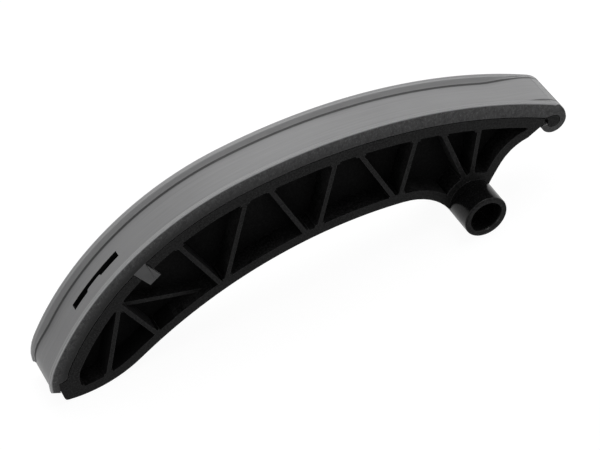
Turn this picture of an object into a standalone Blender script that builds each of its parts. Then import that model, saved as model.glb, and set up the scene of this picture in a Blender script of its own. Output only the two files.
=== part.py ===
"""Timing chain guide: a black truss-ribbed rail carrier that turns on a tube, with a grey slide
lining clipped over its upper edge. Lengths are in millimetres until the meshes are made in metres.
X runs along the rail towards the pivot end, -Y faces the side where the pivot tube stands proud,
and Z is up. The guide stands on its tip and on its pivot tube."""

import math

import bmesh
import bpy

MM = 0.001

# Rail line: the lips' upper edge, seen from the side, as arcs that all turn clockwise. It is drawn
# from (0, 0) straight up, and everything else is placed from it.
TIP_RADIUS = 25.5
TIP_SWEEP = 33.5
CROWN_RADIUS = 133.5
CROWN_SWEEP = 52.0
RUN_RADIUS = 264.0
RUN_SWEEP = 35.5
NOSE_RADIUS = 13.0
HOOK_RADIUS = 6.6
HOOK_SWEEP = 178.0

# Slide lining
LINING_WIDTH = 24.0
LINING_WALL = 3.2
CHANNEL_DEPTH = 3.6
CHANNEL_DEPTH_AT_TIP = 1.0
LIP_THICKNESS = 1.9
LIP_ROOT_FILLET = 0.8
LIP_ROOT_RATIO = 0.25
TIP_RAMP = 26.0
NOSE_RAMP = 30.0
END_SLANT = 0.6
SKIRT_THICKNESS = 1.8
SKIRT_DROP = 1.6
SKIRT_START = 4.0
SKIRT_CORNER = 3.5
SKIRT_CORNER_SHARES = (0.0, 0.1, 0.3, 0.6, 1.0)
SKIRT_END_BACKSET = 1.5

# Slot through the lining's floor, narrowed along its middle
SLOT_START = 41.0
SLOT_LENGTH = 33.0
SLOT_NEAR_EDGE = -1.4
SLOT_FAR_EDGE = 1.8
SLOT_NARROW_EDGE = -0.3
SLOT_NARROW_START = 10.6
SLOT_NARROW_LENGTH = 10.4
SLOT_STEP = 0.6
SLOT_STEP_MARGIN = 1.0

# Clip tabs that hang from the skirts and catch under the carrier's upper flange
TAB_START = 73.5
TAB_LENGTH = 7.5
TAB_DEPTH = 20.2
BARB_HEIGHT = 1.3
BARB_LENGTH = 3.2
BARB_FLAT = 0.8
BARB_INSET = 1.0

# Rail carrier
FIT_GAP = 0.3
UPPER_FLANGE_DEPTH = 14.1
LOWER_FLANGE_THICKNESS = 5.0
NOSE_FLANGE_THICKNESS = 5.2
WEB_THICKNESS = 3.0
RIB_THICKNESS = 2.1
SHALLOW_RIB_SETBACK = 4.0
POCKET_FILLET = 1.2
BEAD_RADIUS = 3.1
NECK_BACKSET = 0.8
TIP_FOOT_AHEAD = 5.3
TIP_FOOT_DROP = 8.36
TIP_CORNER_RADIUS = 1.5
TIP_CORNER_STEPS = 3

# Lower flange: a bulge that the guide stands on, then two hollow sweeps towards the tube. The
# arcs are scaled together to run from the tip's foot to the tube.
BULGE_RADIUS = 53.0
BULGE_SWEEP = 43.31
BELLY_RADIUS = 200.0
BELLY_SWEEP = 40.6
THROAT_RADIUS = 31.0
THROAT_SWEEP = 52.8

# Pivot tube, placed back from the end of the rail's run, with its far side this deep under it
TUBE_BACKSET = 27.676
TUBE_REACH = 64.589
TUBE_RADIUS = 11.0
TUBE_PROUD = 15.0
BORE_RADIUS = 7.0
BORE_MOUTH_RADIUS = 8.3
BORE_MOUTH_DEPTH = 2.4
BOSS_RADIUS = 14.7
TUBE_EDGE = 0.6

# Angle round the tube, and distance off it, at which the throat ends
THROAT_TUBE_ANGLE = -178.36
THROAT_STANDOFF = 0.71

# Nose flange: two arcs, scaled to run from the tube up to a point under the end of the rail's run
NOSE_FLANGE_TUBE_ANGLE = 20.7
NOSE_FLANGE_BACKSET = 5.438
NOSE_FLANGE_DEPTH = 19.561
NOSE_FLANGE_RADIUS = 127.5
NOSE_FLANGE_SWEEP = 5.6
NOSE_FLANGE_TOP_RADIUS = 21.3
NOSE_FLANGE_TOP_SWEEP = 46.0
UPPER_FLANGE_END_DEPTH = 12.4

# Ribs, each from a share of the rail's run to a share of the lower flange's length
RIBS = (
    (0.1869, 0.1093),
    (0.1869, 0.2520),
    (0.3271, 0.4207),
    (0.4572, 0.4374),
    (0.5006, 0.6275),
    (0.6141, 0.6608),
    (0.6575, 0.8367),
    (0.7576, 0.8533),
)
SHALLOW_RIB = (0.1719, 0.3756)
TUBE_RIBS = (0.8076, 0.8760)

# Drawing and cutting
CHORD = 4.0
CLOSEST_STOPS = 0.5
STEP_ANGLE = 10.0
ROUND_SIDES = 48
OVERCUT = 3.0
FLAT_ANGLE = 1.0
CORNER_ANGLE = 25.0
SMOOTH_ANGLE = 30.0
ACROSS_RATIO = 0.99


def straight_ahead(place, distance):
    """The place this far ahead in a straight line. A place is (x, z, heading)."""
    x, z, heading = place
    return (x + distance * math.cos(heading), z + distance * math.sin(heading), heading)


def round_arc(place, radius, angle):
    """The place after turning by the angle, to the left where it is positive."""
    x, z, heading = place
    side = math.copysign(radius, angle)
    centre_x = x - side * math.sin(heading)
    centre_z = z + side * math.cos(heading)
    turned = heading + angle
    return (centre_x + side * math.sin(turned), centre_z - side * math.cos(turned), turned)


def place_along(start, arcs, distance):
    """The place at a distance along a run of (radius, sweep in degrees), straight on past its ends."""
    place = start
    if distance < 0:
        return straight_ahead(place, distance)
    for radius, sweep in arcs:
        length = radius * math.radians(abs(sweep))
        if distance <= length:
            return round_arc(place, radius, math.copysign(distance / radius, sweep))
        place = round_arc(place, radius, math.radians(sweep))
        distance -= length
    return straight_ahead(place, distance)


def stops_along(arcs, first, last):
    """Distances from first to last that follow each arc in even steps."""
    stops = [first]
    begin = 0.0
    for radius, sweep in arcs:
        length = radius * math.radians(abs(sweep))
        steps = max(math.ceil(length / CHORD), math.ceil(abs(sweep) / STEP_ANGLE))
        inside = [begin + length * i / steps for i in range(steps + 1)]
        for stop in inside:
            if stops[-1] + CLOSEST_STOPS < stop < last - CLOSEST_STOPS:
                stops.append(stop)
        begin += length
    return stops + [last]


def beside(place, offset):
    """The point (x, z) this far to the right of a place."""
    x, z, heading = place
    return (x + offset * math.sin(heading), z - offset * math.cos(heading))


def length_of(arcs):
    return sum(radius * math.radians(abs(sweep)) for radius, sweep in arcs)


def fitted_arcs(start, end, arcs):
    """Arcs scaled and turned so that they run from one point to another, and their first place."""
    drawn = place_along((0.0, 0.0, 0.0), arcs, length_of(arcs))
    scale = math.dist(start, end) / math.hypot(drawn[0], drawn[1])
    heading = math.atan2(end[1] - start[1], end[0] - start[0]) - math.atan2(drawn[1], drawn[0])
    return (start[0], start[1], heading), tuple((radius * scale, sweep) for radius, sweep in arcs)


def round_tube(angle, radius):
    """The point at an angle and a radius round the pivot tube's middle."""
    turn = math.radians(angle)
    return (TUBE_X + radius * math.cos(turn), TUBE_Z + radius * math.sin(turn))


NOSE_SWEEP = 180.0 - TIP_SWEEP - CROWN_SWEEP - RUN_SWEEP
RAIL_BENDS = (
    (TIP_RADIUS, -TIP_SWEEP),
    (CROWN_RADIUS, -CROWN_SWEEP),
    (RUN_RADIUS, -RUN_SWEEP),
)
RAIL_ARCS = RAIL_BENDS + ((NOSE_RADIUS, -NOSE_SWEEP), (HOOK_RADIUS, -HOOK_SWEEP))
RAIL_BEGIN = (0.0, 0.0, math.radians(90))
NOSE_STATION = length_of(RAIL_BENDS)
HOOK_STATION = length_of(RAIL_ARCS[:4])
TIP_STATION = -END_SLANT * (CHANNEL_DEPTH_AT_TIP + LINING_WALL)

HALF_WIDTH = LINING_WIDTH / 2
SKIRT_INNER = HALF_WIDTH - SKIRT_THICKNESS
SEAT_HALF_WIDTH = SKIRT_INNER - FIT_GAP
TUBE_NEAR = -HALF_WIDTH - TUBE_PROUD


def rail_point(station, depth):
    return beside(place_along(RAIL_BEGIN, RAIL_ARCS, station), depth)


TUBE_X, TUBE_Z = rail_point(NOSE_STATION - TUBE_BACKSET, TUBE_REACH - TUBE_RADIUS)
LOWER_BEGIN, LOWER_ARCS = fitted_arcs(
    (RAIL_BEGIN[0] + TIP_FOOT_AHEAD, RAIL_BEGIN[1] - TIP_FOOT_DROP),
    round_tube(THROAT_TUBE_ANGLE, TUBE_RADIUS + THROAT_STANDOFF),
    ((BULGE_RADIUS, BULGE_SWEEP), (BELLY_RADIUS, -BELLY_SWEEP), (THROAT_RADIUS, -THROAT_SWEEP)),
)
NOSE_FLANGE_BEGIN, NOSE_FLANGE_ARCS = fitted_arcs(
    round_tube(NOSE_FLANGE_TUBE_ANGLE, TUBE_RADIUS),
    rail_point(NOSE_STATION - NOSE_FLANGE_BACKSET, NOSE_FLANGE_DEPTH),
    ((NOSE_FLANGE_RADIUS, -NOSE_FLANGE_SWEEP), (NOSE_FLANGE_TOP_RADIUS, -NOSE_FLANGE_TOP_SWEEP)),
)
LOWER_LENGTH = length_of(LOWER_ARCS)
NOSE_FLANGE_LENGTH = length_of(NOSE_FLANGE_ARCS)


def lower_point(station, inset):
    return beside(place_along(LOWER_BEGIN, LOWER_ARCS, station), -inset)


def rail_stops(first, last):
    """Distances along the rail, closer together at the skirts' rounded corner."""
    corner = [SKIRT_START + SKIRT_CORNER * share for share in SKIRT_CORNER_SHARES]
    plain = stops_along(RAIL_ARCS, first, last)
    kept = [
        stop for stop in plain
        if stop in (first, last) or all(abs(stop - near) > CLOSEST_STOPS for near in corner)
    ]
    return sorted(kept + [stop for stop in corner if first < stop < last])


def ease(value):
    """0 to 1 with soft ends."""
    held = min(max(value, 0.0), 1.0)
    return held * held * (3 - 2 * held)


def wear_depth(station):
    """Depth of the wear face under the lips, which fade out at both ends of the channel."""
    rise = CHANNEL_DEPTH - CHANNEL_DEPTH_AT_TIP
    at_tip = CHANNEL_DEPTH_AT_TIP + rise * ease(station / TIP_RAMP)
    return at_tip * ease((NOSE_STATION - station) / NOSE_RAMP)


def floor_depth(station):
    return wear_depth(station) + LINING_WALL


def skirt_depth(station):
    """Depth of the skirts' lower edge, with a rounded corner at the tip and a fade into the hook."""
    corner = min(max((station - SKIRT_START) / SKIRT_CORNER, 0.0), 1.0)
    grown = math.sqrt(1 - (1 - corner) ** 2)
    full = CHANNEL_DEPTH + LINING_WALL + SKIRT_DROP
    faded = ease((HOOK_STATION - station) / (HOOK_STATION - NOSE_STATION))
    edge = LINING_WALL + (full - LINING_WALL) * faded
    return floor_depth(station) + max(edge - floor_depth(station), 0.0) * grown


def frame_shift():
    """From the drawing above to the object's own frame: centred, and standing on z = 0."""
    reach = [rail_point(stop, 0.0)[0] for stop in stops_along(RAIL_ARCS, 0.0, length_of(RAIL_ARCS))]
    flange = [lower_point(stop, 0.0)[1] for stop in stops_along(LOWER_ARCS, 0.0, LOWER_LENGTH)]
    lowest = min(flange + [TUBE_Z - TUBE_RADIUS])
    return -(min(reach) + max(reach)) / 2, -(TUBE_NEAR + HALF_WIDTH) / 2, -lowest


SHIFT_X, SHIFT_Y, SHIFT_Z = frame_shift()


def placed(x, y, z):
    """A point of the drawing in metres, in the object's own frame."""
    return ((x + SHIFT_X) * MM, (y + SHIFT_Y) * MM, (z + SHIFT_Z) * MM)


def mesh_object(name, build):
    """A new object from a function that fills a mesh, with its faces turned outwards."""
    mesh = bpy.data.meshes.new(name)
    work = bmesh.new()
    build(work)
    bmesh.ops.recalc_face_normals(work, faces=work.faces)
    work.to_mesh(mesh)
    work.free()
    made = bpy.data.objects.new(name, mesh)
    bpy.context.collection.objects.link(made)
    return made


def loft(name, rings):
    """A closed body through rings of (x, y, z), each with as many points."""

    def build(work):
        loops = []
        for ring in rings:
            loops.append([work.verts.new(placed(*point)) for point in ring])
        for before, after in zip(loops, loops[1:]):
            for i in range(len(before)):
                j = (i + 1) % len(before)
                work.faces.new((before[i], before[j], after[j], after[i]))
        work.faces.new(loops[0][::-1])
        work.faces.new(loops[-1])

    return mesh_object(name, build)


def prism(name, outline, near, far):
    """A side outline of (x, z) carried across from y = near to y = far."""
    return loft(name, [[(x, y, z) for x, z in outline] for y in (near, far)])


def rail_loft(name, first, last, section, slant=0.0):
    """A body along the rail. section(station) gives its (y, depth) corners there."""
    rings = []
    for stop in rail_stops(first, last):
        ring = []
        for y, depth in section(stop):
            lean = slant * depth if stop == first else 0.0
            x, z = rail_point(stop - lean, depth)
            ring.append((x, y, z))
        rings.append(ring)
    return loft(name, rings)


def turned(name, profile, x, z):
    """A closed profile of (radius, y), turned about the line through (x, z) that runs along Y."""

    def ring(turn):
        angle = math.tau * turn / ROUND_SIDES
        return [placed(x + r * math.cos(angle), y, z + r * math.sin(angle)) for r, y in profile]

    def build(work):
        loops = []
        for turn in range(ROUND_SIDES):
            loops.append([work.verts.new(point) for point in ring(turn)])
        for turn in range(ROUND_SIDES):
            before = loops[turn]
            after = loops[(turn + 1) % ROUND_SIDES]
            for i in range(len(profile) - 1):
                work.faces.new((before[i], before[i + 1], after[i + 1], after[i]))
        work.faces.new([loop[0] for loop in loops])
        work.faces.new([loop[-1] for loop in loops][::-1])

    return mesh_object(name, build)


def apply_modifier(target, modifier):
    with bpy.context.temp_override(object=target, active_object=target, selected_objects=[target]):
        bpy.ops.object.modifier_apply(modifier=modifier.name)


def combine(target, tool, operation, solver="EXACT"):
    """Joins the tool to the target, or cuts it away, and removes the tool."""
    modifier = target.modifiers.new(tool.name, "BOOLEAN")
    modifier.operation = operation
    modifier.solver = solver
    modifier.object = tool
    apply_modifier(target, modifier)
    bpy.data.objects.remove(tool)


def material(name, colour, roughness):
    made = bpy.data.materials.new(name)
    made.use_nodes = True
    shader = made.node_tree.nodes["Principled BSDF"]
    shader.inputs["Base Color"].default_value = (*colour, 1.0)
    shader.inputs["Roughness"].default_value = roughness
    shader.inputs["Metallic"].default_value = 0.0
    return made


def finish(target, surface):
    target.data.materials.clear()
    target.data.materials.append(surface)
    target.data.shade_smooth()
    target.data.set_sharp_from_angle(angle=math.radians(SMOOTH_ANGLE))


def lining_section(station):
    """Half of the channel section from the lip round to the floor's middle line, then mirrored."""
    lip = HALF_WIDTH
    inner = HALF_WIDTH - LIP_THICKNESS
    wear = wear_depth(station)
    fillet = min(LIP_ROOT_FILLET, wear / 2)
    half = [
        (lip, skirt_depth(station)),
        (lip, 0.0),
        (inner, 0.0),
        (inner - fillet * LIP_ROOT_RATIO, wear - fillet),
        (inner - fillet, wear),
    ]
    under = [(SKIRT_INNER, floor_depth(station)), (SKIRT_INNER, skirt_depth(station))]
    mirrored = [(-y, depth) for y, depth in reversed(half)]
    mirrored_under = [(-y, depth) for y, depth in reversed(under)]
    return half + mirrored + mirrored_under + under


def slot_section(station):
    """The slot's near edge steps in along its middle."""
    begin = SLOT_START + SLOT_NARROW_START
    end = begin + SLOT_NARROW_LENGTH
    inside = min(station - begin, end - station) / SLOT_STEP
    step = SLOT_NARROW_EDGE - SLOT_NEAR_EDGE
    near = SLOT_NEAR_EDGE + step * min(max(inside, 0.0), 1.0)
    top = wear_depth(station) - OVERCUT / 2
    bottom = floor_depth(station) + OVERCUT / 2
    return [(near, top), (SLOT_FAR_EDGE, top), (SLOT_FAR_EDGE, bottom), (near, bottom)]


def slot_cutter():
    """Rings at the slot's ends and at the steps of its near edge."""
    begin = SLOT_START + SLOT_NARROW_START
    end = begin + SLOT_NARROW_LENGTH
    last = SLOT_START + SLOT_LENGTH
    stops = stops_along(RAIL_ARCS, SLOT_START, last)
    stops = [
        stop for stop in stops if not begin - SLOT_STEP_MARGIN < stop < end + SLOT_STEP_MARGIN
    ]
    stops += [begin, begin + SLOT_STEP, (begin + end) / 2, end - SLOT_STEP, end]
    rings = []
    for stop in sorted(stops):
        ring = []
        for y, depth in slot_section(stop):
            x, z = rail_point(stop, depth)
            ring.append((x, y, z))
        rings.append(ring)
    return loft("slot_cutter", rings)


def tab_plate(name, side, margin, near, depth):
    """A plate on the skirt's face at the tab, with a margin round it."""

    def section(station):
        top = floor_depth(station) + SKIRT_DROP / 2
        outer = side * HALF_WIDTH
        return [(side * near, top), (outer, top), (outer, depth), (side * near, depth)]

    return rail_loft(name, TAB_START - margin, TAB_START + TAB_LENGTH + margin, section)


def tab_barb(side):
    """A wedge on the tab's inner face, just under the carrier's upper flange."""
    top = UPPER_FLANGE_DEPTH + FIT_GAP
    root = side * (SKIRT_INNER + SKIRT_THICKNESS / 2)
    face = side * (SKIRT_INNER - BARB_HEIGHT)
    flat = top + BARB_FLAT

    def section(station):
        return [(root, top), (face, top), (face, flat), (root, top + BARB_LENGTH)]

    return rail_loft("barb", TAB_START + BARB_INSET, TAB_START + TAB_LENGTH - BARB_INSET, section)


def make_lining():
    lining = rail_loft("slide_lining", 0.0, length_of(RAIL_ARCS), lining_section, END_SLANT)
    for side in (-1, 1):
        combine(lining, tab_plate("tab", side, 0.0, SKIRT_INNER, TAB_DEPTH), "UNION")
        combine(lining, tab_barb(side), "UNION")
    combine(lining, slot_cutter(), "DIFFERENCE")
    finish(lining, material("lining_grey", (0.16, 0.16, 0.16), 0.55))
    return lining


def seat_point(station):
    """The carrier's upper face, one gap under the lining's floor."""
    return rail_point(station, floor_depth(station) + FIT_GAP)


def tip_corner():
    """The rounded corner between the carrier's end face and the bulge that it stands on."""
    end_top = seat_point(TIP_STATION)
    corner = LOWER_BEGIN[:2]
    run = math.hypot(end_top[0] - corner[0], end_top[1] - corner[1])
    toward = [(end_top[i] - corner[i]) / run for i in (0, 1)]
    first = [corner[i] + toward[i] * TIP_CORNER_RADIUS for i in (0, 1)]
    last = lower_point(TIP_CORNER_RADIUS, 0.0)
    points = []
    for step in range(TIP_CORNER_STEPS + 1):
        share = step / TIP_CORNER_STEPS
        points.append(tuple(
            (1 - share) ** 2 * last[i] + 2 * share * (1 - share) * corner[i] + share ** 2 * first[i]
            for i in (0, 1)
        ))
    return points


def side_outline():
    """The carrier's outline seen from the side, without its nose bead and tube."""
    outline = [seat_point(stop) for stop in rail_stops(TIP_STATION, NOSE_STATION)]
    outline.append(rail_point(NOSE_STATION, UPPER_FLANGE_END_DEPTH))
    for stop in reversed(stops_along(NOSE_FLANGE_ARCS, 0.0, NOSE_FLANGE_LENGTH)):
        outline.append(beside(place_along(NOSE_FLANGE_BEGIN, NOSE_FLANGE_ARCS, stop), 0.0))
    outline.append((TUBE_X, TUBE_Z))
    lower_stops = stops_along(LOWER_ARCS, TIP_CORNER_RADIUS, LOWER_LENGTH)
    outline += [lower_point(stop, 0.0) for stop in reversed(lower_stops[1:])]
    return outline + tip_corner()


def bar(name, start, end, thickness, near, far):
    """A straight rib between two points, run on past both."""
    length = math.dist(start, end)
    ahead = ((end[0] - start[0]) / length, (end[1] - start[1]) / length)
    across = (-ahead[1] * thickness / 2, ahead[0] * thickness / 2)
    corners = []
    for point, run_on in ((start, -OVERCUT), (end, OVERCUT)):
        for side in (1, -1):
            corners.append((
                point[0] + ahead[0] * run_on + across[0] * side,
                point[1] + ahead[1] * run_on + across[1] * side,
            ))
    outline = [corners[0], corners[1], corners[3], corners[2]]
    return prism(name, outline, near, far)


def rib_ends(rail_share, lower_share):
    return (
        rail_point(rail_share * NOSE_STATION, UPPER_FLANGE_DEPTH),
        lower_point(lower_share * LOWER_LENGTH, LOWER_FLANGE_THICKNESS),
    )


def pocket_blank(near, far):
    """The space between the flanges: everything under the upper one and above the other two."""
    under = []
    for stop in stops_along(RAIL_ARCS, TIP_STATION, NOSE_STATION):
        under.append(rail_point(stop, UPPER_FLANGE_DEPTH))
    low = TUBE_Z - 2 * TUBE_RADIUS
    blank = prism("pocket", under + [(under[-1][0], low), (under[0][0], low)], near, far)

    above = []
    for stop in stops_along(LOWER_ARCS, 0.0, LOWER_LENGTH):
        above.append(lower_point(stop, LOWER_FLANGE_THICKNESS))
    nose_reach = NOSE_FLANGE_LENGTH + NOSE_FLANGE_THICKNESS
    for stop in stops_along(NOSE_FLANGE_ARCS, 0.0, nose_reach):
        place = place_along(NOSE_FLANGE_BEGIN, NOSE_FLANGE_ARCS, stop)
        above.append(beside(place, -NOSE_FLANGE_THICKNESS))
    high = CROWN_RADIUS
    above += [(above[-1][0], high), (above[0][0], high)]
    combine(blank, prism("above_flanges", above, near - OVERCUT, far + OVERCUT), "INTERSECT")
    return blank


def round_pocket_corners(pockets):
    """A fillet on each corner of the pockets that runs across the carrier. Each is a step of its
    own, because the clamp holds all edges of one step to the size that the tightest allows."""
    work = bmesh.new()
    work.from_mesh(pockets.data)
    bmesh.ops.dissolve_limit(
        work,
        angle_limit=math.radians(FLAT_ANGLE),
        verts=work.verts,
        edges=work.edges,
        delimit={"NORMAL"},
    )
    corners = []
    for edge in work.edges:
        run = edge.verts[1].co - edge.verts[0].co
        if abs(run.y) < ACROSS_RATIO * run.length or len(edge.link_faces) != 2:
            continue
        if edge.calc_face_angle() > math.radians(CORNER_ANGLE):
            corners.append(edge)
    for edge in corners:
        bmesh.ops.bevel(
            work,
            geom=[edge],
            offset=POCKET_FILLET * MM,
            segments=2,
            affect="EDGES",
            clamp_overlap=True,
        )
    work.to_mesh(pockets.data)
    work.free()


def pocket_cutter(side):
    """The open pockets of one side of the web, between the ribs and round the tube's boss."""
    ends = sorted((side * WEB_THICKNESS / 2, side * (HALF_WIDTH + OVERCUT)))
    cut = (ends[0] - OVERCUT, ends[1] + OVERCUT)
    pockets = pocket_blank(*ends)
    for shares in RIBS:
        start, end = rib_ends(*shares)
        combine(pockets, bar("rib", start, end, RIB_THICKNESS, *cut), "DIFFERENCE")
    for share in TUBE_RIBS:
        start = rail_point(share * NOSE_STATION, UPPER_FLANGE_DEPTH)
        end = (TUBE_X, TUBE_Z + BORE_RADIUS)
        combine(pockets, bar("tube_rib", start, end, RIB_THICKNESS, *cut), "DIFFERENCE")
    boss = turned("boss", [(BOSS_RADIUS, cut[0]), (BOSS_RADIUS, cut[1])], TUBE_X, TUBE_Z)
    combine(pockets, boss, "DIFFERENCE")
    round_pocket_corners(pockets)
    return pockets


def shallow_rib(side):
    """A low rib that runs under the others, set back from the carrier's face."""
    start, end = rib_ends(*SHALLOW_RIB)
    depths = sorted((0.0, side * (HALF_WIDTH - SHALLOW_RIB_SETBACK)))
    return bar("shallow_rib", start, end, RIB_THICKNESS, *depths)


def skirt_rebate(side):
    """Room for one skirt of the lining, cut from the edge of the upper flange."""
    inner = side * SEAT_HALF_WIDTH
    outer = side * (HALF_WIDTH + OVERCUT)

    def section(station):
        bottom = max(skirt_depth(station), skirt_depth(station + FIT_GAP)) + FIT_GAP
        top = floor_depth(station) - OVERCUT / 2
        return [(inner, top), (outer, top), (outer, bottom), (inner, bottom)]

    last = HOOK_STATION - SKIRT_END_BACKSET
    return rail_loft("skirt_rebate", SKIRT_START - FIT_GAP / 2, last, section)


def tab_recess(side):
    """Room for one clip tab, cut across the edge of the upper flange."""
    inner = side * SEAT_HALF_WIDTH
    outer = side * (HALF_WIDTH + OVERCUT)

    def section(station):
        top = floor_depth(station)
        bottom = UPPER_FLANGE_DEPTH + OVERCUT / 2
        return [(inner, top), (outer, top), (outer, bottom), (inner, bottom)]

    return rail_loft("tab_recess", TAB_START - FIT_GAP, TAB_START + TAB_LENGTH + FIT_GAP, section)


def nose_neck():
    """The neck under the lining's bend, which carries the bead inside its hook."""
    bottom = HOOK_RADIUS + BEAD_RADIUS - NECK_BACKSET

    def section(station):
        top = floor_depth(station) + FIT_GAP
        return [(-HALF_WIDTH, top), (HALF_WIDTH, top), (HALF_WIDTH, bottom), (-HALF_WIDTH, bottom)]

    return rail_loft("neck", NOSE_STATION - OVERCUT, HOOK_STATION, section)


def nose_bead():
    x, z = rail_point(HOOK_STATION, HOOK_RADIUS)
    return turned("bead", [(BEAD_RADIUS, -HALF_WIDTH), (BEAD_RADIUS, HALF_WIDTH)], x, z)


def pivot_tube():
    edge = TUBE_RADIUS - TUBE_EDGE
    profile = [
        (edge, TUBE_NEAR),
        (TUBE_RADIUS, TUBE_NEAR + TUBE_EDGE),
        (TUBE_RADIUS, HALF_WIDTH),
    ]
    return turned("tube", profile, TUBE_X, TUBE_Z)


def bore_cutter():
    mouth = BORE_MOUTH_RADIUS
    profile = [
        (mouth, TUBE_NEAR - OVERCUT),
        (mouth, TUBE_NEAR),
        (BORE_RADIUS, TUBE_NEAR + BORE_MOUTH_DEPTH),
        (BORE_RADIUS, HALF_WIDTH - BORE_MOUTH_DEPTH),
        (mouth, HALF_WIDTH),
        (mouth, HALF_WIDTH + OVERCUT),
    ]
    return turned("bore", profile, TUBE_X, TUBE_Z)


def make_carrier():
    """EXACT leaves open edges here from the first rebate on, so those steps use MANIFOLD."""
    carrier = prism("rail_carrier", side_outline(), -HALF_WIDTH, HALF_WIDTH)
    combine(carrier, nose_neck(), "UNION")
    combine(carrier, nose_bead(), "UNION")
    for side in (-1, 1):
        combine(carrier, skirt_rebate(side), "DIFFERENCE", "MANIFOLD")
        combine(carrier, tab_recess(side), "DIFFERENCE", "MANIFOLD")
    combine(carrier, pivot_tube(), "UNION", "MANIFOLD")
    combine(carrier, bore_cutter(), "DIFFERENCE", "MANIFOLD")
    for side in (-1, 1):
        combine(carrier, pocket_cutter(side), "DIFFERENCE", "MANIFOLD")
        combine(carrier, shallow_rib(side), "UNION", "MANIFOLD")
    finish(carrier, material("carrier_black", (0.012, 0.012, 0.013), 0.45))
    return carrier


for existing in list(bpy.data.objects):
    bpy.data.objects.remove(existing)

make_carrier()
make_lining()
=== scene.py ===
# %% [markdown]
# # A timing chain guide
#
# A long curved plastic rail keeps an engine's timing chain on its path. It has two mouldings:
# a black carrier, stiffened by a truss of thin ribs, and a grey slide lining that is snapped
# over the carrier's upper edge, where the chain runs on it. The carrier turns on the tube near
# its thick end. This lesson dresses the two solids of the CAD model: their hard edges are
# softened, their faces are sorted into finishes, and each finish is built from shader nodes.
# The CAD model is loaded first, as a fixed frame.

# %% Load the frame
import math

import bpy
from mathutils import Matrix, Vector
from mathutils.bvhtree import BVHTree


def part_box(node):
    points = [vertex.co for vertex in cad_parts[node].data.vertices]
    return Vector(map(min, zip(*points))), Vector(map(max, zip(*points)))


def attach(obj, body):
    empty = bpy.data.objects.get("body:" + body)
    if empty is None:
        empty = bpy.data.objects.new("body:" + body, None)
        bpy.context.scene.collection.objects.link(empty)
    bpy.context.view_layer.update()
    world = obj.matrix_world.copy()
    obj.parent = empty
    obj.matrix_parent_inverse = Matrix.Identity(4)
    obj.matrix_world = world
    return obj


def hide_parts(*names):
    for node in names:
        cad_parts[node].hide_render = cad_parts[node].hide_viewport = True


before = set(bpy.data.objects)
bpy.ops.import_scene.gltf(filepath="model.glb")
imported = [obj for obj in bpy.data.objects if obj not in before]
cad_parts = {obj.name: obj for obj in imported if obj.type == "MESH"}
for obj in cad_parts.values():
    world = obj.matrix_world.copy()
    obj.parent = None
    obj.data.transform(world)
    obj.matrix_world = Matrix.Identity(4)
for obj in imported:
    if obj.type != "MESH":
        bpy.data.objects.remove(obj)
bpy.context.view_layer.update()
MM = 0.001

# %% [markdown]
# ## The camera
#
# A picture from a catalogue is taken from a metre or so away with a long lens, so that the
# rail's far end isn't drawn much smaller than its near end. The camera could be turned with
# Euler angles, but its place and the directions that are right and up in the picture are easier
# to read: it looks down on the rail from its near side, and leans a little, which makes the rail
# climb across the picture.

# %% Place the camera
VIEW_FROM = Vector((-0.2290, -0.6644, 0.7399))
VIEW_RIGHT = Vector((0.8861, -0.4437, -0.1344))
VIEW_UP = Vector((0.4037, 0.5960, 0.6941))
LENS_MM = 132.2
SENSOR_MM = 36.0

bpy.ops.object.select_all(action="DESELECT")
bpy.ops.object.camera_add(location=VIEW_FROM)
camera = bpy.context.object
camera.name = "studio_camera"
back = VIEW_RIGHT.cross(VIEW_UP).normalized()
turn = Matrix((VIEW_RIGHT, VIEW_UP, back)).transposed()
camera.matrix_world = Matrix.Translation(VIEW_FROM) @ turn.to_4x4()
camera.data.lens = LENS_MM
camera.data.sensor_width = SENSOR_MM
bpy.context.scene.camera = camera
bpy.context.scene.view_settings.view_transform = "Standard"
print("camera looks along", [round(-value, 3) for value in back])

# %% [markdown]
# ## Shader helpers
#
# Every finish below is a Principled shader with a few texture nodes in front of it. Small helpers
# keep those cells short: they start a material, add a node with its settings, draw a noise, blend
# two colours, and find open faces and outward edges, for dust and painted shade in the corners and
# for edge wear with a painted highlight. All patterns read Object coordinates, in metres, so that
# they stay in the plastic when the part turns. A noise scale of 1000 therefore gives grains about
# 1 mm apart.

# %% Helpers for materials
def new_material(name, roughness, specular):
    made = bpy.data.materials.new(name)
    made.use_nodes = True
    shader = made.node_tree.nodes["Principled BSDF"]
    shader.inputs["Roughness"].default_value = roughness
    shader.inputs["Specular IOR Level"].default_value = specular
    return made, shader


def add_node(made, kind, inputs=None, **settings):
    """Adds a node. Each input is a number or colour to set, or another node's output to link."""
    node = made.node_tree.nodes.new(kind)
    for key, value in settings.items():
        setattr(node, key, value)
    for key, value in (inputs or {}).items():
        if isinstance(value, bpy.types.NodeSocket):
            made.node_tree.links.new(value, node.inputs[key])
        else:
            node.inputs[key].default_value = value
    return node


def calculate(made, operation, first, second=0.0, **settings):
    """The result of a Math node on one number or two."""
    inputs = {0: first, 1: second}
    return add_node(made, "ShaderNodeMath", inputs, operation=operation, **settings).outputs[0]


def noise(made, scale, stretch=(1.0, 1.0, 1.0), detail=4.0, roughness=0.55, distortion=0.0):
    """A noise pattern in the plastic. A small stretch draws it out along that axis."""
    place = add_node(made, "ShaderNodeTexCoord").outputs["Object"]
    spread = add_node(made, "ShaderNodeMapping", {"Vector": place, "Scale": stretch})
    pattern = add_node(made, "ShaderNodeTexNoise", {
        "Vector": spread.outputs["Vector"],
        "Scale": scale,
        "Detail": detail,
        "Roughness": roughness,
        "Distortion": distortion,
    })
    return pattern.outputs["Fac"]


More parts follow.
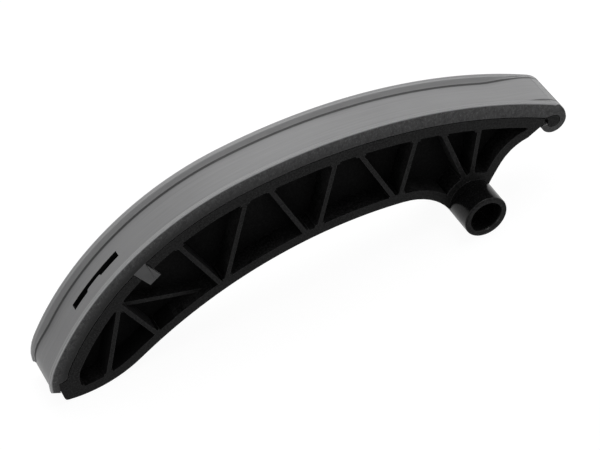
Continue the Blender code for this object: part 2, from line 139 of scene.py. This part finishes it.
def between(made, value, low, high, start=0.0, end=1.0):
    """Spreads a value from one span of numbers to another, and stops at its ends."""
    spread = add_node(made, "ShaderNodeMapRange", {
        "Value": value, "From Min": low, "From Max": high, "To Min": start, "To Max": end,
    })
    return spread.outputs["Result"]


def blend_colours(made, share, under, over):
    """One colour laid over another. At a share of 1 only the upper one is left."""
    mixed = add_node(made, "ShaderNodeMix", {"Factor": share}, data_type="RGBA")
    for socket, colour in ((mixed.inputs[6], under), (mixed.inputs[7], over)):
        if isinstance(colour, bpy.types.NodeSocket):
            made.node_tree.links.new(colour, socket)
        else:
            socket.default_value = (*colour, 1.0)
    return mixed.outputs[2]


def coordinate(made, axis):
    """One of the Object coordinates X, Y and Z, in metres."""
    place = add_node(made, "ShaderNodeTexCoord").outputs["Object"]
    return add_node(made, "ShaderNodeSeparateXYZ", {"Vector": place}).outputs[axis]


def stored(made, name):
    """A number that the mesh carries under this name."""
    return add_node(made, "ShaderNodeAttribute", attribute_name=name).outputs["Fac"]


def grey(level):
    """A grey that is very slightly blue, as plain plastic is."""
    return (level, level, level * 1.01)


def openness(made, distance):
    """Near 1 on open faces, and lower in corners, where shade falls and dust stays."""
    inputs = {"Distance": distance}
    return add_node(made, "ShaderNodeAmbientOcclusion", inputs, samples=6).outputs["AO"]


def edge_mask(made, radius):
    """Near 1 on the outward edges: it compares a rounded normal with the true one."""
    rounded = add_node(made, "ShaderNodeBevel", {"Radius": radius}, samples=4)
    true_normal = add_node(made, "ShaderNodeNewGeometry").outputs["Normal"]
    alike = add_node(made, "ShaderNodeVectorMath", {
        0: rounded.outputs["Normal"], 1: true_normal,
    }, operation="DOT_PRODUCT")
    edges = between(made, alike.outputs["Value"], 0.98, 0.7)
    outward = between(made, openness(made, 2 * radius), 0.6, 0.9)
    return calculate(made, "MULTIPLY", edges, outward)


def bump(made, height, distance, strength, normal=None):
    inputs = {"Height": height, "Distance": distance, "Strength": strength}
    if normal is not None:
        inputs["Normal"] = normal
    return add_node(made, "ShaderNodeBump", inputs).outputs["Normal"]


def connect(made, shader, **sockets):
    """Links outputs to the shader's inputs. Base_Color stands for the input Base Color."""
    for key, value in sockets.items():
        made.node_tree.links.new(value, shader.inputs[key.replace("_", " ")])


print("helpers for materials are ready")

# %% [markdown]
# ## The floor
#
# Small dark parts are often photographed on a sheet that burns out to white. More light would
# do that too, but it would also wash out the part. Here the Light Path node does it: a ray that
# comes straight from the camera, or by way of a reflection, meets a mostly white floor, while
# the light that the floor throws back on the part comes from its plain pale colour. A share of
# the plain colour is left in what the camera sees, so that the part still casts a soft shadow.

# %% Make the floor
WHITE = (1.0, 1.0, 1.0, 1.0)
FLOOR_SIZE = 12.0
FLOOR_GAP = 0.02 * MM
FLOOR_COLOUR = grey(0.72)
FLOOR_GLOW = 1.1
WHITE_SHARE = 0.86

bpy.ops.object.select_all(action="DESELECT")
bpy.ops.mesh.primitive_plane_add(size=FLOOR_SIZE, location=(0.0, 0.0, -FLOOR_GAP))
floor = bpy.context.object
floor.name = "studio_floor"


def seen_directly(made):
    """1 for a ray from the camera, or one that a mirror or a glass has passed on, and else 0."""
    ray = add_node(made, "ShaderNodeLightPath").outputs
    seen = ray["Is Camera Ray"]
    for kind in ("Is Glossy Ray", "Is Transmission Ray"):
        seen = calculate(made, "ADD", seen, ray[kind], use_clamp=True)
    return seen


floor_paint, floor_shader = new_material("floor_pale", roughness=0.9, specular=0.0)
floor_shader.inputs["Base Color"].default_value = (*FLOOR_COLOUR, 1.0)
glow = add_node(floor_paint, "ShaderNodeEmission", {"Color": WHITE, "Strength": FLOOR_GLOW})
sheet = add_node(floor_paint, "ShaderNodeMixShader", {
    0: calculate(floor_paint, "MULTIPLY", seen_directly(floor_paint), WHITE_SHARE),
    1: floor_shader.outputs[0],
    2: glow.outputs[0],
})
floor_out = floor_paint.node_tree.nodes["Material Output"]
floor_paint.node_tree.links.new(sheet.outputs[0], floor_out.inputs["Surface"])
floor.data.materials.append(floor_paint)
print("floor is", FLOOR_SIZE, "m wide")

# %% [markdown]
# ## The light
#
# The wear face looks up and is evenly bright, and the sides are much darker, so the light is a
# wide soft box overhead, a little behind the part. A weak, wide lamp in front keeps the sides
# readable, and two low strips, one at each end, draw the bright lines along the tube. The world
# adds a little light from everywhere, and is white only where a ray sees it directly, as the
# floor is. Together they light a level face at a plain strength: a colour of 0.2 is drawn at
# about 0.2.

# %% Hang the lamps
AIMED_AT = Vector((0.0, 0.0, 0.03))
WORLD_LEVEL = 0.16


def add_lamp(name, place, width, height, watts):
    bpy.ops.object.select_all(action="DESELECT")
    bpy.ops.object.light_add(type="AREA", location=place)
    lamp = bpy.context.object
    lamp.name = name
    lamp.data.shape = "RECTANGLE"
    lamp.data.size = width
    lamp.data.size_y = height
    lamp.data.energy = watts
    facing = (AIMED_AT - Vector(place)).to_track_quat("-Z", "Y").to_matrix()
    lamp.matrix_world = Matrix.Translation(place) @ facing.to_4x4()


lamps = (
    ("softbox_above", (0.36, 0.30, 1.25), 1.3, 1.0, 13.2),
    ("fill_in_front", (0.55, -1.40, 0.70), 1.2, 0.8, 2.6),
    ("strip_left", (-1.10, -0.35, 0.40), 0.3, 0.9, 1.6),
    ("strip_right", (1.10, -0.30, 0.35), 0.3, 0.9, 1.6),
)
for lamp in lamps:
    add_lamp(*lamp)

world = bpy.data.worlds.new("studio_world")
world.use_nodes = True
bpy.context.scene.world = world
dim_sky = world.node_tree.nodes["Background"]
dim_sky.inputs["Strength"].default_value = WORLD_LEVEL
dim_sky.inputs["Color"].default_value = WHITE
white_sky = add_node(world, "ShaderNodeBackground", {"Color": WHITE, "Strength": 1.0})
both_skies = add_node(world, "ShaderNodeMixShader", {
    0: seen_directly(world), 1: dim_sky.outputs[0], 2: white_sky.outputs[0],
})
world_out = world.node_tree.nodes["World Output"]
world.node_tree.links.new(both_skies.outputs[0], world_out.inputs["Surface"])
print("lamps:", [name for name, *rest in lamps])

# %% [markdown]
# ## A working copy of a solid
#
# The CAD model's mesh is loose triangles, which can't be bevelled. The solid itself stays as it
# is, so a copy is made, its doubled points are merged, and triangles that lie in one plane are
# dissolved into larger faces, which clears the stray points inside flat faces. The mesh could
# also be modelled anew, but then it would have to be kept in step with the CAD model by hand.

# %% Helpers for copies
SAME_PLACE = 0.01 * MM
FLAT_ANGLE = math.radians(0.4)


def only(piece):
    """Deselects everything and makes this piece the active one."""
    bpy.ops.object.select_all(action="DESELECT")
    piece.select_set(True)
    bpy.context.view_layer.objects.active = piece


def in_edit_mode(piece, *steps):
    """Runs mesh operators on the piece. Each step is an operator and its settings."""
    only(piece)
    bpy.ops.object.mode_set(mode="EDIT")
    for operator, settings in steps:
        operator(**settings)
    bpy.ops.object.mode_set(mode="OBJECT")


def working_copy(node, name):
    piece = bpy.data.objects.new(name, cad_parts[node].data.copy())
    bpy.context.scene.collection.objects.link(piece)
    piece.data.materials.clear()
    only(piece)
    bpy.ops.mesh.customdata_custom_splitnormals_clear()
    in_edit_mode(
        piece,
        (bpy.ops.mesh.select_mode, {"type": "VERT"}),
        (bpy.ops.mesh.select_all, {"action": "SELECT"}),
        (bpy.ops.mesh.remove_doubles, {"threshold": SAME_PLACE}),
        (bpy.ops.mesh.dissolve_limited, {"angle_limit": FLAT_ANGLE}),
    )
    print(name, "has", len(piece.data.polygons), "faces after merging")
    return piece


lining = working_copy("slide_lining", "slide_lining_dressed")
carrier = working_copy("rail_carrier", "rail_carrier_dressed")
LEAST, MOST = (corner.copy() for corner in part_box("slide_lining"))
MIDDLE_Y = (LEAST.y + MOST.y) / 2
HALF_WIDTH = (MOST.y - LEAST.y) / 2

# %% [markdown]
# Each clip tab hangs flush from its skirt, so the two now share one large face. The tab has a
# smoother finish, which needs a face of its own: an edge is drawn across, between the two points
# where the tab leaves the skirt. After that the large faces are cut into triangles again,
# because a long face with dozens of corners can lose its shape when its edges are bevelled.

# %% Part the tabs from the skirts
# The two points of a tab's root line, seen from the side. Y is left out.
TAB_ROOT = (Vector((-83.57 * MM, 0.0, 57.22 * MM)), Vector((-77.18 * MM, 0.0, 60.86 * MM)))


def part_tab(piece, side):
    """Joins the tab's two root points on the outer face at this value of Y."""
    in_edit_mode(piece, (bpy.ops.mesh.select_all, {"action": "DESELECT"}))
    for root in TAB_ROOT:
        place = Vector((root.x, side, root.z))
        nearest = min(piece.data.vertices, key=lambda point: (point.co - place).length)
        nearest.select = True
    in_edit_mode(piece, (bpy.ops.mesh.vert_connect, {}))


def cut_into_triangles(piece):
    in_edit_mode(
        piece,
        (bpy.ops.mesh.select_all, {"action": "SELECT"}),
        (bpy.ops.mesh.quads_convert_to_tris, {"quad_method": "BEAUTY", "ngon_method": "BEAUTY"}),
    )
    print(piece.name, "has", len(piece.data.polygons), "triangles")


part_tab(lining, LEAST.y)
part_tab(lining, MOST.y)
cut_into_triangles(lining)
cut_into_triangles(carrier)

# %% [markdown]
# ## Soft edges
#
# A moulding never has knife edges: the mould's own corners are rounded by a few tenths of a
# millimetre, and that thin rounding is what catches the light along the lips and the ribs. A
# Bevel modifier with an angle limit would find those edges by itself, but it rounds them all
# alike. Here each edge gets a bevel weight, a share of the modifier's full width, and 0 keeps
# it sharp.
#
# The lining's two lips come first, because their inner corners are rounded far more than the
# rest. A chain that wanders sideways meets a smooth hump there and no corner. The lips sink into
# the channel's floor towards both ends, so the rounding shrinks with them.

# %% Round the lips
LIP_THICKNESS = 1.9 * MM
LIP_ROUND = 0.9 * MM
LIP_SEGMENTS = 3
TIP_RISE = 28 * MM
TIP_SHARE = 0.25
NOSE_FADE = 32 * MM
NOSE_BARE = 4 * MM
BEND_CENTRE = Vector((0.010, MIDDLE_Y, -0.060))


def looks_out(centre, normal, least):
    """Whether a face looks away from the middle of the rail's bend."""
    outward = centre - BEND_CENTRE
    outward.y = 0.0
    return normal.dot(outward.normalized()) > least


def lip_share(place):
    """How much of the lips' full height stands at this place along the rail."""
    to_bare_nose = MOST.x - NOSE_BARE - place.x
    if to_bare_nose < NOSE_FADE:
        return max(0.0, to_bare_nose / NOSE_FADE)
    if place.x < LEAST.x + TIP_RISE:
        return min(1.0, TIP_SHARE + (place.z - LEAST.z) / TIP_RISE)
    return 1.0


def weigh_edges(piece, share):
    """Gives each edge between two faces its bevel weight, share(middle, face, face)."""
    owners = {}
    for face in piece.data.polygons:
        for key in face.edge_keys:
            owners.setdefault(key, []).append(face)
    weight = piece.data.attributes.get("bevel_weight_edge")
    if weight is None:
        weight = piece.data.attributes.new("bevel_weight_edge", "FLOAT", "EDGE")
    marked = 0
    for edge in piece.data.edges:
        first, last = (piece.data.vertices[number].co for number in edge.vertices)
        sides = owners.get(tuple(sorted(edge.vertices)), [])
        value = share((first + last) / 2, *sides) if len(sides) == 2 else 0.0
        weight.data[edge.index].value = value
        marked += value > 0.0
    return marked


def lip_corner(middle, first, second):
    """The bevel weight of an edge between a lip's upper face and its inner wall, and else 0."""
    across = abs(middle.y - MIDDLE_Y)
    near_wall = abs(across - (HALF_WIDTH - LIP_THICKNESS)) < 0.3 * MM
    upright = max(abs(first.normal.y), abs(second.normal.y)) > 0.9
    level = min((first, second), key=lambda face: abs(face.normal.y))
    on_top = abs(level.normal.y) < 0.3 and looks_out(middle, level.normal, 0.0)
    return lip_share(middle) if near_wall and upright and on_top else 0.0


def bevel_marked(piece, width, segments):
    only(piece)
    bevel = piece.modifiers.new("rounding", "BEVEL")
    bevel.width = width
    bevel.segments = segments
    bevel.limit_method = "WEIGHT"
    bevel.use_clamp_overlap = False
    bpy.ops.object.modifier_apply(modifier=bevel.name)


print("lip edges:", weigh_edges(lining, lip_corner))
bevel_marked(lining, LIP_ROUND, LIP_SEGMENTS)

# %% [markdown]
# All other sharp edges get the mould's own small radius, except the ones on the tabs' hidden
# inner side. Where several short edges meet at a sharp angle, a bevel can throw a corner out of
# the solid. So each new point is compared with the surface as it was, and one that lies further
# from it than the bevel is wide, or stands proud of it, goes back onto it. The shading is then
# smoothed up to an angle, so that the long curves look round and the corners stay crisp, and a
# Weighted Normal modifier lets the large flat faces decide the shading at their edges.

# %% Round the edges
LINING_ROUND = 0.30 * MM
CARRIER_ROUND = 0.20 * MM
EDGE_SEGMENTS = 2
SHARP_COSINE = math.cos(math.radians(40))
SMOOTH_ANGLE = math.radians(35)
OUTSIDE_SHARE = 0.45
TAB_SPAN = (-0.5 * MM, 7.9 * MM)
TAB_BELOW_ROOT = 0.3 * MM
TAB_WITH_BARB = 3.5 * MM


def points_on_lips(piece):
    """The corners of the lips' upper faces, as places in XZ. The next step needs them."""
    numbers = set()
    for face in piece.data.polygons:
        at_the_side = abs(face.center.y - MIDDLE_Y) > HALF_WIDTH - 2.0 * MM
        if at_the_side and abs(face.normal.y) < 0.2 and looks_out(face.center, face.normal, 0.8):
            numbers.update(face.vertices)
    return [piece.data.vertices[number].co.xz for number in numbers]


def surface_tree(piece):
    """The surface as it is now, ready for a search of its nearest place."""
    corners = [point.co.copy() for point in piece.data.vertices]
    return BVHTree.FromPolygons(corners, [face.vertices[:] for face in piece.data.polygons])


def put_back(piece, surface, reach):
    """Moves stray points onto the surface. Outside it, a share of the reach is already too far."""
    moved = 0
    for point in piece.data.vertices:
        place, normal, face, distance = surface.find_nearest(point.co)
        outside = (point.co - place).dot(normal) > SAME_PLACE
        if distance > reach or (outside and distance > OUTSIDE_SHARE * reach):
            point.co = place
            moved += 1
    return moved


def on_tab(place):
    """Whether a place on the lining lies on a tab, below the line where it leaves its skirt."""
    along = (TAB_ROOT[1] - TAB_ROOT[0]).normalized()
    inward = Vector((along.z, 0.0, -along.x))
    from_root = Vector((place.x, 0.0, place.z)) - TAB_ROOT[0]
    hangs = from_root.dot(inward) > TAB_BELOW_ROOT
    in_span = TAB_SPAN[0] < from_root.dot(along) < TAB_SPAN[1]
    return hangs and in_span and abs(place.y - MIDDLE_Y) > HALF_WIDTH - TAB_WITH_BARB


def sharp_edge(middle, first, second):
    """The bevel weight of a sharp edge that isn't on a tab's hidden side, and else 0."""
    hidden = on_tab(middle) and abs(middle.y - MIDDLE_Y) < HALF_WIDTH - 0.5 * MM
    return 0.0 if hidden or first.normal.dot(second.normal) > SHARP_COSINE else 1.0


def round_edges(piece, width):
    surface = surface_tree(piece)
    print(piece.name, "sharp edges:", weigh_edges(piece, sharp_edge))
    bevel_marked(piece, width, EDGE_SEGMENTS)
    print("corners put back:", put_back(piece, surface, width))
    bpy.ops.object.shade_smooth_by_angle(angle=SMOOTH_ANGLE)
    weigh = piece.modifiers.new("flat_faces_first", "WEIGHTED_NORMAL")
    weigh.keep_sharp = True
    bpy.ops.object.modifier_apply(modifier=weigh.name)
    print(piece.name, "has", len(piece.data.polygons), "faces after rounding")


lip_tops = points_on_lips(lining)
round_edges(lining, LINING_ROUND)
round_edges(carrier, CARRIER_ROUND)

# %% [markdown]
# ## How far a point lies below the lips
#
# The skirts get a painted highlight along their upper edge and painted shade towards the
# bottom. A shader can't know where the edge is, because it curves. So each point of the mesh
# carries a number, its distance below the lips' upper faces in mm, and the shader reads it by
# name. Between two points the number runs evenly, which suits straight skirts well. In the same
# way each face carries a 1 if it belongs to a lip's inner wall, and else a 0.

# %% Measure the drop
WALL_ZONE = (HALF_WIDTH - 3.0 * MM, HALF_WIDTH - 0.6 * MM)


def on_lip_wall(centre, normal):
    """Whether a face belongs to the inner wall of a lip, which the chain's plates rub."""
    from_middle = centre.y - MIDDLE_Y
    at_lip = WALL_ZONE[0] < abs(from_middle) < WALL_ZONE[1]
    return at_lip and abs(normal.y) > 0.5 and from_middle * normal.y < 0.0


drops = lining.data.attributes.new("drop_mm", "FLOAT", "POINT")
for point in lining.data.vertices:
    flat = point.co.xz
    drops.data[point.index].value = min((flat - top).length for top in lip_tops) / MM
print("points on the lips:", len(lip_tops))

walls = lining.data.attributes.new("lip_wall", "FLOAT", "FACE")
for face in lining.data.polygons:
    walls.data[face.index].value = float(on_lip_wall(face.center, face.normal))
print("faces of the lips' inner walls:", sum(row.value > 0.0 for row in walls.data))

# %% [markdown]
# ## Finish of the slide lining
#
# The lining is moulded in a dark grey slippery plastic. Its channel is smooth and draws the eye
# as a clean satin band, with faint streaks in the running direction. The lips' tops are painted
# lighter near the tip and their inner walls lighter all along, a painted highlight, and dust and
# painted shade darken the corners, with a painted shadow line beside the walls' roots. The skirts
# are rough and blotchy, with painted shade towards their lower edge and a painted highlight along
# the upper one. The clip tabs are smooth and dull, and the slot's walls are painted near black, a
# painted shadow. Four materials on one mesh give that.

# %% Lining materials
slide_face, shader = new_material("lining_slide_face", roughness=0.42, specular=0.35)

# The bare grey: streaks along the rail under wide, soft clouds.
streaks = noise(slide_face, 60.0, stretch=(0.5, 18.0, 0.5), detail=3.0)
cloud = noise(slide_face, 45.0, detail=2.0)
tone = blend_colours(slide_face, between(slide_face, streaks, 0.3, 0.7), grey(0.225), grey(0.262))
clouded = between(slide_face, cloud, 0.35, 0.7, 0.0, 0.5)
tone = blend_colours(slide_face, clouded, tone, grey(0.275))

# Painted highlight on the lips' tops near the tip, found by their distance from the middle, and on
# their inner walls.
from_middle = calculate(slide_face, "SUBTRACT", coordinate(slide_face, "Y"), MIDDLE_Y)
across = calculate(slide_face, "ABSOLUTE", from_middle)
on_lips = between(slide_face, across, HALF_WIDTH - 2.3 * MM, HALF_WIDTH - LIP_THICKNESS)
near_tip = between(slide_face, coordinate(slide_face, "X"), -60 * MM, 30 * MM, 1.0, 0.0)
lip_top_highlight = calculate(slide_face, "MULTIPLY", on_lips, near_tip)
tone = blend_colours(slide_face, lip_top_highlight, tone, grey(0.325))
on_wall = stored(slide_face, "lip_wall")
tone = blend_colours(slide_face, on_wall, tone, grey(0.42))

# Dust and painted shade in the corners, thin on the walls, and a painted shadow line on the floor
# beside their roots.
dust_and_shade = between(slide_face, openness(slide_face, 1.8 * MM), 0.55, 0.97, 0.95, 0.0)
dust_and_shade = calculate(slide_face, "MULTIPLY", dust_and_shade, between(slide_face, on_wall, 0.0, 1.0, 1.0, 0.25))
root_shadow_line = calculate(
    slide_face, "MULTIPLY",
    between(slide_face, across, HALF_WIDTH - 3.7 * MM, HALF_WIDTH - 3.2 * MM, 0.0, 0.95),
    between(slide_face, across, HALF_WIDTH - 2.5 * MM, HALF_WIDTH - 2.3 * MM, 1.0, 0.0),
)
dust_and_shade = calculate(slide_face, "MAXIMUM", dust_and_shade, root_shadow_line)
tone = blend_colours(slide_face, dust_and_shade, tone, grey(0.04))
# Edge wear and a painted highlight: the outward edges are lighter.
tone = blend_colours(slide_face, edge_mask(slide_face, 0.5 * MM), tone, grey(0.42))
grain = noise(slide_face, 2600.0, detail=2.0)
connect(
    slide_face, shader,
    Base_Color=tone,
    Roughness=between(slide_face, cloud, 0.3, 0.7, 0.38, 0.5),
    Normal=bump(slide_face, grain, 0.02 * MM, 0.35),
)

rough_side, shader = new_material("lining_rough_side", roughness=0.62, specular=0.15)
blotches = noise(rough_side, 420.0, detail=6.0, roughness=0.7, distortion=0.4)
scratches = noise(rough_side, 1100.0, stretch=(1.0, 1.0, 0.5), detail=5.0, roughness=0.75)
tone = blend_colours(rough_side, between(rough_side, blotches, 0.35, 0.68), grey(0.035), grey(0.1))
scratched = between(rough_side, scratches, 0.52, 0.68, 0.0, 0.8)
tone = blend_colours(rough_side, scratched, tone, grey(0.16))

# Painted shade: darker with the distance below the lips, most of all near the tip.
drop = stored(rough_side, "drop_mm")
shade = between(rough_side, coordinate(rough_side, "X"), -80 * MM, 70 * MM, 0.92, 0.25)
shade = calculate(rough_side, "MULTIPLY", between(rough_side, drop, 1.5, 7.0), shade)
tone = blend_colours(rough_side, shade, tone, grey(0.008))
# Painted highlight along the skirts' upper edge, just below the lips.
lip_edge_highlight = between(rough_side, drop, 1.3, 0.5)
tone = blend_colours(rough_side, lip_edge_highlight, tone, grey(0.55))
# Edge wear and a painted highlight: the outward edges are lighter.
tone = blend_colours(rough_side, edge_mask(rough_side, 0.4 * MM), tone, grey(0.16))
connect(
    rough_side, shader,
    Base_Color=tone,
    Roughness=between(rough_side, blotches, 0.3, 0.7, 0.5, 0.72),
    Normal=bump(rough_side, scratches, 0.08 * MM, 0.7, bump(rough_side, blotches, 0.18 * MM, 0.7)),
)


def dull_plastic(name, dark, light, edge_wear_and_highlight):
    made, shader = new_material(name, roughness=0.5, specular=0.15)
    mottle = noise(made, 180.0, detail=4.0)
    tone = blend_colours(made, between(made, mottle, 0.35, 0.65), grey(dark), grey(light))
    # Edge wear and a painted highlight: the outward edges are lighter.
    tone = blend_colours(made, edge_mask(made, 0.4 * MM), tone, grey(edge_wear_and_highlight))
    connect(made, shader, Base_Color=tone, Roughness=between(made, mottle, 0.3, 0.7, 0.42, 0.6))
    return made


smooth_tab = dull_plastic("lining_smooth_tab", dark=0.085, light=0.105, edge_wear_and_highlight=0.2)
# Painted shadow: the slot's walls are drawn near black.
slot_painted_shadow = dull_plastic("lining_slot_shadow_painted", dark=0.003, light=0.008, edge_wear_and_highlight=0.02)
print("lining finishes:", slide_face.name, rough_side.name, smooth_tab.name, slot_painted_shadow.name)

# %% [markdown]
# ## Which face gets which finish
#
# The channel's faces look away from the middle of the rail's bend, and the skirts look sideways.
# The two lips stand on the channel's edges, and their inner walls look sideways too, but they
# lie further in than the skirts' outer faces. The clip tabs lie beyond their root line, and the
# slot's walls near the middle. With those rules each face can be picked by number, as one would
# pick it by hand in face select.

# %% Sort the lining's faces
SLOT_SPAN = (-114 * MM, -80 * MM)
SLOT_HALF_WIDTH = 2.2 * MM


def assign_faces(piece, number, wanted):
    """Gives that material slot to each face for which wanted(centre, normal) holds."""
    count = 0
    for face in piece.data.polygons:
        if wanted(face.center, face.normal):
            face.material_index = number
            count += 1
    return count


def in_channel(centre, normal):
    on_top = looks_out(centre, normal, 0.35) and abs(normal.y) < 0.75 and normal.x < 0.8
    return on_top or on_lip_wall(centre, normal)


def in_slot(centre, normal):
    near_middle = abs(centre.y - MIDDLE_Y) < SLOT_HALF_WIDTH
    along_slot = SLOT_SPAN[0] < centre.x < SLOT_SPAN[1]
    return near_middle and along_slot and not looks_out(centre, normal, 0.5)


for finish in (rough_side, slide_face, smooth_tab, slot_painted_shadow):
    lining.data.materials.append(finish)
print("channel faces:", assign_faces(lining, 1, in_channel))
print("tab faces:", assign_faces(lining, 2, lambda centre, normal: on_tab(centre)))
print("slot faces:", assign_faces(lining, 3, in_slot))
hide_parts("slide_lining")
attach(lining, "root")

# %% [markdown]
# ## Finish of the carrier
#
# Glass-filled nylon comes out of the mould nearly black, with a fine speckle where the fibres
# reach the surface, a satin skin on its outer faces and a duller one down in the pockets, where
# the tool can't be polished. The pockets' finish is also painted darker, as painted shade. All are
# one recipe at several strengths, so a function makes them.

# %% Carrier materials
def black_plastic(name, dark, light, roughness, specular, edge_wear_and_highlight, relief):
    made, shader = new_material(name, roughness, specular)
    cloud = noise(made, 90.0, detail=3.0)
    speckle = noise(made, 1100.0, detail=4.0, roughness=0.75)
    tone = blend_colours(made, between(made, speckle, 0.44, 0.62), grey(dark), grey(light))
    tone = blend_colours(made, between(made, cloud, 0.4, 0.7, 0.0, 0.35), tone, grey(light))
    # Edge wear and a painted highlight: the outward edges are lighter.
    tone = blend_colours(made, edge_mask(made, 0.45 * MM), tone, grey(edge_wear_and_highlight))
    pebble = noise(made, 520.0, detail=4.0, roughness=0.65)
    ground = bump(made, pebble, 0.12 * MM, 0.45 * relief)
    connect(
        made, shader,
        Base_Color=tone,
        Roughness=between(made, cloud, 0.3, 0.7, roughness - 0.06, roughness + 0.1),
        Normal=bump(made, speckle, 0.03 * MM, 0.5 * relief, ground),
    )
    return made


carrier_face = black_plastic(
    "carrier_satin_black",
    dark=0.002, light=0.022, roughness=0.45, specular=0.06, edge_wear_and_highlight=0.075, relief=1.0,
)
# Painted shade: the pockets' finish is darker than that of the outer faces.
carrier_pocket_painted_shade = black_plastic(
    "carrier_dull_black_painted_shade",
    dark=0.003, light=0.008, roughness=0.7, specular=0.04, edge_wear_and_highlight=0.012, relief=1.0,
)
carrier_tube = black_plastic(
    "carrier_glossy_black",
    dark=0.003, light=0.008, roughness=0.2, specular=0.16, edge_wear_and_highlight=0.12, relief=0.15,
)
print("carrier finishes:", carrier_face.name, carrier_pocket_painted_shade.name, carrier_tube.name)

# %% [markdown]
# The pockets' floor is the web in the middle of the carrier's width. It gets the duller finish,
# painted darker as painted shade, and so does the top that lies hidden under the lining, which
# shows only through the slot. The tube is polished, so that the white sheet shines along both its
# sides.

# %% Sort the carrier's faces
WEB_ZONE = 2.6 * MM
SLOT_NOSE_END = -70 * MM
TUBE_AXIS = Vector((80.66 * MM, 0.0, 11.0 * MM))
TUBE_RADIUS = 11.0 * MM
TUBE_MARGIN = 0.3 * MM


def in_pocket(centre, normal):
    on_web = abs(centre.y - MIDDLE_Y) < WEB_ZONE and abs(normal.y) > 0.7
    under_lining = looks_out(centre, normal, 0.6) and centre.x < SLOT_NOSE_END
    return on_web or under_lining


def on_tube(centre, normal):
    """Whether a face is on the round side of the tube, where it stands out past the lining."""
    from_axis = math.hypot(centre.x - TUBE_AXIS.x, centre.z - TUBE_AXIS.z)
    proud = centre.y < LEAST.y
    return proud and from_axis < TUBE_RADIUS + TUBE_MARGIN and abs(normal.y) < 0.6


for finish in (carrier_face, carrier_pocket_painted_shade, carrier_tube):
    carrier.data.materials.append(finish)
print("pocket faces:", assign_faces(carrier, 1, in_pocket))
print("tube faces:", assign_faces(carrier, 2, on_tube))
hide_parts("rail_carrier")
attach(carrier, "root")

# %% [markdown]
# ## The last step
#
# Dressing a part must not change its size. This cell only brings the scene up to date.

# %% Finish
bpy.context.view_layer.update()
